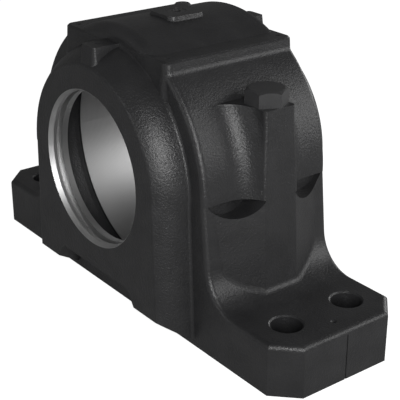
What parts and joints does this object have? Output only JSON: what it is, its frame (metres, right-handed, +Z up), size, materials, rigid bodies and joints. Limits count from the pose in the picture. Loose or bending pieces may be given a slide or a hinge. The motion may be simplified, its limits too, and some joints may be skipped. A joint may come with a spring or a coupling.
{
  "type": "split plummer block",
  "caption": "Two-part cast bearing housing on a long bolted foot, its cap held by hexagon head bolts, with a stepped round bore for bearing, seals and shaft.",
  "frame": {"origin": "centre of the sole, under the middle of the bore", "axes": "+Z up, X along the foot, Y along the shaft axis, which lies 100 mm above the sole"},
  "size_m": [0.345, 0.1422, 0.195],
  "materials": {
    "painted_casting": "satin charcoal paint over sand casting, bore bright machined",
    "black_bolt_steel": "black oxide",
    "bright_pin_steel": "ground",
    "black_plug": "black oxide"
  },
  "bodies": {
    "root": {"housing_base": "painted_casting", "housing_cap": "painted_casting", "cap_bolts": "black_bolt_steel", "dowel_pins": "bright_pin_steel", "centre_plug": "black_plug", "side_plug": "black_plug"}
  },
  "joints": []
}
